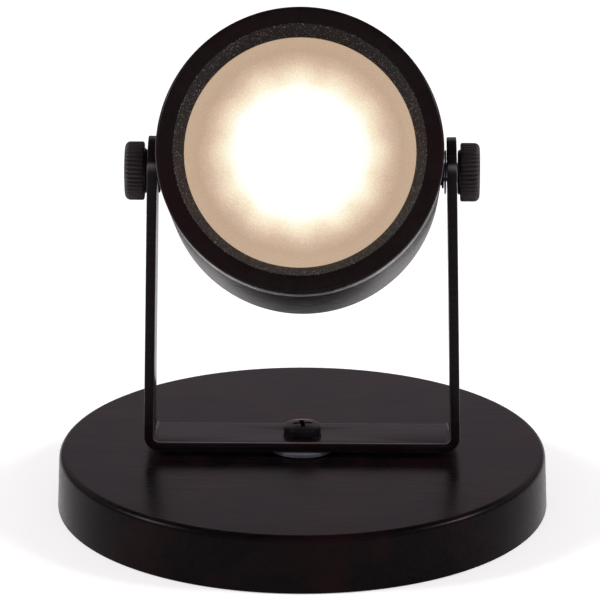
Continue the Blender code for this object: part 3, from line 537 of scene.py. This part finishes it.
def shaped(name, mesh, modifiers):
    """The mesh once its modifiers are applied, back as a bmesh without collapsed faces. Each
    modifier is (type, settings), and a Boolean's object is given as a bmesh."""
    work = as_object(name, mesh)
    helpers = [work]
    for kind, settings in modifiers:
        change = work.modifiers.new(kind, kind)
        for key, value in settings.items():
            if isinstance(value, bmesh.types.BMesh):
                value = as_object(f"{name}_cutter", value)
                helpers.append(value)
            setattr(change, key, value)
    graph = bpy.context.evaluated_depsgraph_get()
    result = bmesh.new()
    result.from_object(work, graph)
    bmesh.ops.dissolve_degenerate(result, dist=MERGE_DISTANCE, edges=result.edges)
    for helper in helpers:
        bpy.data.objects.remove(helper)
    return result


def cut(cutter):
    """The modifier that takes the cutter's shape away."""
    return ("BOOLEAN", {"operation": "DIFFERENCE", "solver": "EXACT", "object": cutter})


def dress(name, mesh, finish, body, node, matrix=Matrix.Identity(4), sharp=SHARP_ANGLE):
    """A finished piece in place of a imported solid."""
    made = as_object(name, mesh, matrix)
    made.data.shade_smooth()
    made.data.set_sharp_from_angle(angle=sharp)
    made.data.materials.append(finish)
    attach(made, body)
    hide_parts(node)
    return made


# The base


def dress_base(looks):
    inner_top = BASE_TOP_RADIUS - SHELL_WALL
    inner_bottom = BASE_RADIUS - SHELL_WALL
    outline = rounded(
        [
            (CENTRE_HOLE_RADIUS, BASE_HEIGHT, 0),
            (CENTRE_HOLE_RADIUS, BASE_HEIGHT - SHELL_WALL, 0),
            (inner_top, BASE_HEIGHT - SHELL_WALL, SHELL_INNER_RADIUS),
            (inner_bottom, SHELL_LIFT, 0),
            (BASE_RADIUS, SHELL_LIFT, SHELL_RIM_ROUND),
            (BASE_TOP_RADIUS, BASE_HEIGHT, BASE_EDGE_RADIUS),
        ]
    )
    mesh = turned(outline, FINE_ROUND)
    dress("base_cover", mesh, looks["base"], "base", "base_shell")
    outline = rounded(
        [
            (0, 0, 0),
            (PAD_RADIUS, 0, PAD_ROUND),
            (PAD_RADIUS, PAD_THICKNESS, 0),
            (0, PAD_THICKNESS, 0),
        ],
        closed=False,
    )
    dress("foam_pad", turned(outline, MEDIUM_ROUND), looks["foam"], "base", "base_pad")
    top = WASHER_BOTTOM + WASHER_THICKNESS
    outline = rounded(
        [
            (CENTRE_HOLE_RADIUS, WASHER_BOTTOM, 0),
            (WASHER_RADIUS, WASHER_BOTTOM, WASHER_ROUND),
            (WASHER_RADIUS, top, WASHER_ROUND),
            (CENTRE_HOLE_RADIUS, top, 0),
        ]
    )
    mesh = turned(outline, MEDIUM_ROUND)
    dress("flat_washer", mesh, looks["washer"], "base", "swivel_washer")


def recess_cutter(turn):
    """One bar of the cross recess, narrower at its floor."""
    top = SCREW_HEAD_HEIGHT + OVERRUN
    rise = (top - SCREW_HEAD_HEIGHT + RECESS_DEPTH) / RECESS_DEPTH
    top_share = RECESS_FLOOR_SHARE + (1 - RECESS_FLOOR_SHARE) * rise
    mesh = bmesh.new()
    rings = []
    for height, share in ((SCREW_HEAD_HEIGHT - RECESS_DEPTH, RECESS_FLOOR_SHARE), (top, top_share)):
        x = RECESS_SPAN / 2 * share
        y = RECESS_WIDTH / 2 * (1 + (share - 1) * RECESS_WIDTH_TAPER)
        corners = ((-x, -y), (x, -y), (x, y), (-x, y))
        rings.append([mesh.verts.new((*corner, height)) for corner in corners])
    join_rings(mesh, rings)
    mesh.faces.new(rings[0])
    mesh.faces.new(rings[1])
    bmesh.ops.recalc_face_normals(mesh, faces=mesh.faces)
    bmesh.ops.rotate(mesh, verts=mesh.verts, cent=(0, 0, 0), matrix=Matrix.Rotation(turn, 3, "Z"))
    return mesh


def dress_screw(looks):
    """The pan-head screw, its crown a shallow dome."""
    crown = []
    for step in range(CROWN_STEPS, -1, -1):
        share = step / CROWN_STEPS
        fillet = SCREW_EDGE_RADIUS if step == CROWN_STEPS else 0
        crown.append((SCREW_HEAD_RADIUS * share, SCREW_HEAD_HEIGHT - CROWN_DROP * share**2, fillet))
    outline = rounded(
        [
            (0, -SCREW_LENGTH, 0),
            (SCREW_RADIUS, -SCREW_LENGTH, SCREW_POINT_ROUND),
            (SCREW_RADIUS, 0, 0),
            (SCREW_HEAD_RADIUS, 0, SCREW_FOOT_ROUND),
            *crown,
        ],
        closed=False,
    )
    bars = [cut(recess_cutter(RECESS_TURN)), cut(recess_cutter(RECESS_TURN + math.pi / 2))]
    mesh = shaped("screw_work", turned(outline, MEDIUM_ROUND), bars)
    place = Matrix.Translation((0, 0, SCREW_SEAT))
    dress("centre_screw", mesh, looks["screw"], "base", "yoke_screw", place)


# The yoke


def strap_map(lean):
    """A function from (along, across, in from the outer face) on the flat strap to the bent one,
    with the length of strap from its middle to the bend and round the bend."""
    corner = YOKE_SPAN / 2
    bend = math.pi / 2 + lean
    tangent = BEND_RADIUS * math.tan(bend / 2)
    foot = corner - tangent
    arc = BEND_RADIUS * bend

    def place(point):
        side = 1 if point.x >= 0 else -1
        along = abs(point.x)
        if along <= foot:
            x, z = along, point.z
        elif along <= foot + arc:
            angle = (along - foot) / BEND_RADIUS
            reach = BEND_RADIUS - point.z
            x = foot + reach * math.sin(angle)
            z = BEND_RADIUS - reach * math.cos(angle)
        else:
            rest = along - foot - arc
            reach = BEND_RADIUS - point.z
            x = foot + reach * math.sin(bend) + rest * math.cos(bend)
            z = BEND_RADIUS - reach * math.cos(bend) + rest * math.sin(bend)
        return Vector((side * x, point.y, z))

    return place, foot, arc


def dress_yoke(looks):
    top = PIVOT_RISE + ARM_END_OFFSET + STRAP_WIDTH / 2
    lean = (YOKE_SPAN / 2 - ARM_OUTER_AT_PIVOT) / PIVOT_RISE
    place, foot, arc = strap_map(lean)
    tangent = YOKE_SPAN / 2 - foot
    arm = top / math.cos(lean) - tangent
    length = foot + arc + arm
    pivot = foot + arc + PIVOT_RISE / math.cos(lean) - tangent
    half = STRAP_WIDTH / 2
    outline = rounded(
        [
            (-length, -half, half),
            (length, -half, half),
            (length, half, half),
            (-length, half, half),
        ]
    )
    changes = []
    for radius, along in ((STRAP_HOLE_RADIUS, 0), (PIVOT_HOLE_RADIUS, pivot), (PIVOT_HOLE_RADIUS, -pivot)):
        changes.append(cut(cylinder(radius, -OVERRUN, STRAP_THICKNESS + OVERRUN, (along, 0))))
    settings = {"width": STRAP_ROUND, "segments": STRAP_ROUND_STEPS, "angle_limit": STRAP_ROUND_ANGLE}
    changes.append(("BEVEL", settings))
    mesh = shaped("strap_work", prism(outline, 0, STRAP_THICKNESS), changes)
    for side in (-1, 1):
        for step in range(BEND_CUTS + 1):
            along = side * (foot + arc * step / BEND_CUTS)
            bmesh.ops.bisect_plane(
                mesh,
                geom=mesh.verts[:] + mesh.edges[:] + mesh.faces[:],
                dist=MERGE_DISTANCE,
                plane_co=(along, 0, 0),
                plane_no=(1, 0, 0),
            )
    for vert in mesh.verts:
        vert.co = place(vert.co)
    bmesh.ops.triangulate(mesh, faces=[face for face in mesh.faces if len(face.verts) > 4])
    seat = Matrix.Translation((0, 0, STRAP_BOTTOM))
    dress("strap", mesh, looks["yoke"], "yoke", "yoke", seat, STRAP_SHARP_ANGLE)


# The head


def drum_radius(place):
    """The drum's radius at this place along the head's axis; it narrows a little to the rear."""
    share = (FRONT_REACH - place) / (FRONT_REACH + REAR_REACH)
    return RIM_RADIUS + (REAR_RADIUS - RIM_RADIUS) * share


def sideways(mesh):
    """The mesh, turned from along Z to along X."""
    turn = Matrix.Rotation(math.pi / 2, 3, "Y")
    bmesh.ops.rotate(mesh, verts=mesh.verts, cent=(0, 0, 0), matrix=turn)
    return mesh


def dress_housing(looks):
    front = RING_BACK - SEAM_GAP
    outline = rounded(
        [
            (BORE_RADIUS, front, 0),
            (drum_radius(front), front, SEAM_ROUND),
            (REAR_RADIUS, REAR_END, REAR_EDGE_RADIUS),
            (BUSH_NECK_RADIUS + BUSH_GAP, REAR_END, 0),
            (BUSH_NECK_RADIUS + BUSH_GAP, REAR_END + REAR_WALL, 0),
            (REAR_BORE_RADIUS, REAR_END + REAR_WALL, REAR_INNER_RADIUS),
            (REAR_BORE_RADIUS, LEDGE_HEIGHT, 0),
            (BORE_RADIUS, LEDGE_HEIGHT, 0),
        ]
    )
    reach = RIM_RADIUS + OVERRUN
    holes = sideways(cylinder(INSERT_HOLE_RADIUS, -reach, reach))
    mesh = shaped("housing_work", turned(outline, FINE_ROUND), [cut(holes)])
    dress("drum", mesh, looks["head"], "head", "housing", HEAD)


def dress_front_ring(looks):
    outline = rounded(
        [
            (OPENING_RADIUS, FRONT_REACH, OPENING_ROUND),
            (RIM_RADIUS, FRONT_REACH, RING_EDGE_RADIUS),
            (drum_radius(RING_BACK), RING_BACK, SEAM_ROUND),
            (SPIGOT_RADIUS, RING_BACK, 0),
            (SPIGOT_RADIUS, RING_BACK - SPIGOT_LENGTH, 0),
            (POCKET_RADIUS, RING_BACK - SPIGOT_LENGTH, 0),
            (POCKET_RADIUS, LIP_BACK, 0),
            (LENS_VIEW_RADIUS, LIP_BACK, 0),
            (LENS_VIEW_RADIUS, LIP_FRONT, LIP_ROUND),
        ]
    )
    mesh = turned(outline, FINE_ROUND)
    made = dress("bezel", mesh, looks["ring"], "head", "front_ring", HEAD)
    # The cone's faces take the paint that carries the painted sheen and glints.
    made.data.materials.append(looks["cone"])
    for face in made.data.polygons:
        out = math.hypot(face.center.x, face.center.y)
        inside = out < OPENING_RADIUS + OPENING_ROUND / 2
        if inside and face.center.z > LIP_BACK and face.normal.z > -0.5:
            face.material_index = 1


def dress_lens(looks):
    back = LIP_BACK - LENS_GAP - LENS_THICKNESS
    front = back + LENS_THICKNESS
    outline = rounded(
        [
            (0, back, 0),
            (LENS_RADIUS, back, LENS_ROUND),
            (LENS_RADIUS, front, LENS_ROUND),
            (0, front, 0),
        ],
        closed=False,
    )
    mesh = turned(outline, MEDIUM_ROUND)
    dress("lens_disc", mesh, looks["lens"], "head", "lens", HEAD)


def dress_bushing(looks):
    outer = REAR_END - BUSH_GAP
    catch = REAR_END + REAR_WALL + BUSH_GAP
    outline = rounded(
        [
            (BUSH_BORE_RADIUS, outer - BUSH_FLANGE_THICKNESS, BUSH_BORE_EDGE),
            (BUSH_FLANGE_RADIUS, outer - BUSH_FLANGE_THICKNESS, BUSH_FLANGE_EDGE),
            (BUSH_FLANGE_RADIUS, outer, 0),
            (BUSH_NECK_RADIUS, outer, 0),
            (BUSH_NECK_RADIUS, catch, 0),
            (BUSH_CATCH_RADIUS, catch, 0),
            (BUSH_NECK_RADIUS, catch + BUSH_CATCH_THICKNESS, 0),
            (BUSH_BORE_RADIUS, catch + BUSH_CATCH_THICKNESS, 0),
        ]
    )
    mesh = turned(outline, SMALL_ROUND)
    dress("rear_bush", mesh, looks["rubber"], "head", "cord_bushing", HEAD)


def rib_ring(mesh, radius, depth, height):
    """A ring of points whose radius dips between the ribs by this depth."""
    count = RIB_COUNT * RIB_POINTS
    ring = []
    for index in range(count):
        angle = math.tau * index / count
        wave = abs(math.cos(RIB_COUNT * angle / 2)) ** RIB_SHARPNESS
        reach = radius - depth * (1 - wave)
        ring.append(mesh.verts.new((reach * math.cos(angle), reach * math.sin(angle), height)))
    return ring


def dress_knob(side, turn, looks):
    """A knob, drawn along +Z and turned to point out along the tilt axis."""
    barrel = KNOB_FACE + KNOB_SHOULDER_LENGTH
    end = barrel + KNOB_LENGTH
    bore_end = end - KNOB_END_WALL + KNOB_BORE_GAP
    levels = [
        (KNOB_BORE_RADIUS, 0, bore_end),
        (KNOB_BORE_RADIUS, 0, KNOB_FACE),
        (KNOB_SHOULDER_RADIUS - KNOB_FOOT_EDGE, 0, KNOB_FACE),
        (KNOB_SHOULDER_RADIUS, 0, KNOB_FACE + KNOB_FOOT_EDGE),
        (KNOB_SHOULDER_RADIUS, 0, barrel),
        (KNOB_RADIUS - RIB_DEPTH, 0, barrel),
        (KNOB_RADIUS - KNOB_FOOT_EDGE, RIB_DEPTH / 2, barrel),
        (KNOB_RADIUS, RIB_DEPTH, barrel + KNOB_FOOT_EDGE),
    ]
    for step in range(KNOB_EDGE_STEPS + 1):
        angle = math.pi / 2 * step / KNOB_EDGE_STEPS
        radius = KNOB_RADIUS - KNOB_EDGE * (1 - math.cos(angle))
        height = end - KNOB_EDGE * (1 - math.sin(angle))
        levels.append((radius, RIB_DEPTH * (1 - (step / KNOB_EDGE_STEPS) ** RIB_FADE), height))
    levels.append(((KNOB_RADIUS - KNOB_EDGE) * KNOB_END_SHARE, 0, end))
    mesh = bmesh.new()
    rings = [rib_ring(mesh, *level) for level in levels]
    join_rings(mesh, rings)
    mesh.faces.new(rings[0])
    mesh.faces.new(rings[-1])
    bmesh.ops.recalc_face_normals(mesh, faces=mesh.faces)
    knob = f"knob_{side}"
    place = HEAD @ turn
    dress(f"grip_{side}", mesh, looks["knob"], knob, knob, place, KNOB_SHARP_ANGLE)


def finish_inner(frame, looks):
    """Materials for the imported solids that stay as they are."""
    choices = {
        "cast_iron": ["base_weight"],
        "zinc": [
            "wave_washer",
            "nut_washer",
            "yoke_nut",
            "knob_stud_left",
            "knob_stud_right",
            "board_screw_1",
            "board_screw_2",
            "board_screw_3",
            "driver_screw_1",
            "driver_screw_2",
        ],
        "silicone": ["lens_gasket"],
        "white": ["reflector", "driver_cup", "terminal_block"],
        "board": ["led_board"],
        "green": ["driver_board"],
        "aluminium": ["heat_spreader"],
        "rubber": ["driver_capacitor", "driver_transformer", "pivot_washer_left", "pivot_washer_right"],
        "brass": ["pivot_insert_left", "pivot_insert_right"],
        "red": ["lead_positive"],
        "black": ["lead_negative"],
    }
    for look, names in choices.items():
        for name in names:
            for holder in frame["nodes"][name].material_slots:
                holder.material = looks[look]


def make_looks():
    umber = (0.0095, 0.0034, 0.0040)
    return {
        "base": paint(
            "base_bronze",
            dark=(0.0018, 0.0012, 0.0012),
            light=(0.0048, 0.0034, 0.0037),
            blush=umber,
            streak_scale=(60, 1500, 900),
            roughness=0.25,
            specular=0.04,
        ),
        "yoke": paint(
            "yoke_bronze",
            dark=(0.0055, 0.0046, 0.0052),
            light=(0.013, 0.0105, 0.012),
            blush=umber,
            streak_scale=(60, 1500, 900),
            roughness=0.25,
            specular=0.06,
            # A painted highlight along the strap's edges
            edge_highlight=(0.17, 0.16, 0.165),
        ),
        "head": paint(
            "head_bronze",
            dark=(0.0035, 0.0026, 0.0030),
            light=(0.015, 0.0110, 0.0125),
            blush=umber,
            streak_scale=(220, 220, 2600),
            roughness=0.30,
            specular=0.03,
            relief=0.00009,
        ),
        "ring": paint(
            "ring_bronze",
            dark=(0.0050, 0.0031, 0.0030),
            light=(0.011, 0.0068, 0.0066),
            blush=umber,
            streak_scale=(300, 300, 300),
            roughness=0.27,
            specular=0.06,
        ),
        # The cone's paint is a lighter, bluish copy of the bezel's: a painted cool sheen, with light
        # flecks that are painted glints.
        "cone": paint(
            "cone_bronze_painted_sheen",
            dark=(0.0035, 0.0033, 0.0044),
            light=(0.012, 0.0115, 0.015),
            blush=umber,
            streak_scale=(900, 900, 300),
            roughness=0.45,
            specular=0.10,
            relief=0.00006,
            glint_fleck=(0.16, 0.14, 0.12),
        ),
        "screw": plain_metal(
            "black_screw",
            (0.006, 0.0055, 0.006),
            (0.014, 0.012, 0.014),
            roughness=0.15,
            metallic=0.0,
            specular=0.04,
        ),
        "washer": plain_metal(
            "dull_zinc",
            (0.08, 0.08, 0.10),
            (0.12, 0.12, 0.15),
            roughness=0.55,
            metallic=0.0,
            specular=0.15,
        ),
        "knob": moulded(
            "knob_black", (0.020, 0.015, 0.017), (0.036, 0.029, 0.032), roughness=0.42, specular=0.25
        ),
        "lens": lit_lens(),
        "zinc": plain_metal("zinc_plate", (0.42, 0.42, 0.45), (0.60, 0.60, 0.63), roughness=0.35),
        "foam": moulded(
            "black_foam",
            (0.010, 0.010, 0.010),
            (0.03, 0.03, 0.03),
            roughness=0.9,
            scale=1800.0,
            depth=0.0003,
            specular=0.1,
        ),
        "rubber": moulded("black_rubber", (0.008, 0.008, 0.008), (0.018, 0.018, 0.018), roughness=0.55),
        "cast_iron": plain_metal(
            "cast_iron",
            (0.05, 0.05, 0.05),
            (0.11, 0.11, 0.11),
            roughness=0.7,
            metallic=0.8,
            scale=1600.0,
        ),
        "silicone": moulded("silicone", (0.66, 0.65, 0.61), (0.78, 0.77, 0.73), roughness=0.5),
        "white": moulded("white_plastic", (0.78, 0.78, 0.75), (0.88, 0.88, 0.85), roughness=0.4),
        "board": moulded("board_white", (0.74, 0.74, 0.72), (0.86, 0.86, 0.84), roughness=0.45),
        "green": moulded("board_green", (0.02, 0.12, 0.045), (0.04, 0.19, 0.075), roughness=0.35),
        "aluminium": plain_metal(
            "aluminium_cast", (0.60, 0.61, 0.62), (0.76, 0.77, 0.78), roughness=0.42
        ),
        "brass": plain_metal(
            "brass_blackened",
            (0.010, 0.009, 0.008),
            (0.022, 0.019, 0.016),
            roughness=0.5,
            metallic=0.0,
            specular=0.05,
        ),
        "red": moulded("lead_red", (0.45, 0.02, 0.015), (0.60, 0.04, 0.03), roughness=0.5),
        "black": moulded("lead_black", (0.012, 0.012, 0.012), (0.025, 0.025, 0.025), roughness=0.5),
    }


# Stage


def make_stage():
    """A white floor, and a world that lights like a studio's walls, darker at their foot and
    overhead."""
    mesh = bmesh.new()
    bmesh.ops.create_grid(mesh, x_segments=1, y_segments=1, size=FLOOR_HALF_SIDE)
    floor = as_object("floor", mesh)
    floor.data.materials.append(floor_material())
    world = bpy.data.worlds.new("studio")
    bpy.context.scene.world = world
    world.use_nodes = True
    graph = Graph(world.node_tree)
    shader = world.node_tree.nodes["Background"]
    facing = graph.add("ShaderNodeTexCoord").outputs["Generated"]
    height = graph.add("ShaderNodeSeparateXYZ", {0: facing}).outputs[2]
    wall = graph.spread(height, WALL_FOOT, WALL_MIDDLE, WALL_FOOT_STRENGTH, WALL_STRENGTH)
    fade = graph.spread(height, WALL_TOP, CEILING_EDGE, 1.0, CEILING_STRENGTH)
    graph.tree.links.new(graph.math("MULTIPLY", wall, fade), shader.inputs["Strength"])
    shader.inputs["Color"].default_value = (*WALL_COLOUR, 1)


def area_light(name, place):
    data = bpy.data.lights.new(name, "AREA")
    data.shape = "SQUARE"
    data.size = LIGHT_SIDE
    data.energy = LIGHT_POWER
    made = bpy.data.objects.new(name, data)
    bpy.context.scene.collection.objects.link(made)
    made.location = place
    aim = Vector(LIGHT_AIM) - Vector(place)
    made.rotation_euler = aim.to_track_quat("-Z", "Y").to_euler()


def make_camera():
    data = bpy.data.cameras.new("camera")
    data.lens = CAMERA_LENS_MM
    data.sensor_width = SENSOR_MM
    data.clip_start, data.clip_end = CAMERA_CLIP
    made = bpy.data.objects.new("camera", data)
    bpy.context.scene.collection.objects.link(made)
    made.location = CAMERA_PLACE
    made.rotation_euler = Vector(CAMERA_AIM).to_track_quat("-Z", "Y").to_euler()
    bpy.context.scene.camera = made


def main():
    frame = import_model()
    looks = make_looks()
    dress_base(looks)
    dress_screw(looks)
    dress_yoke(looks)
    dress_housing(looks)
    dress_front_ring(looks)
    dress_lens(looks)
    dress_bushing(looks)
    for side, sign in (("left", -1), ("right", 1)):
        dress_knob(side, Matrix.Rotation(sign * math.pi / 2, 4, "Y"), looks)
    finish_inner(frame, looks)
    make_stage()
    area_light("left_light", LEFT_LIGHT_PLACE)
    area_light("right_light", RIGHT_LIGHT_PLACE)
    make_camera()
    bpy.context.scene.view_settings.view_transform = "Standard"


main()
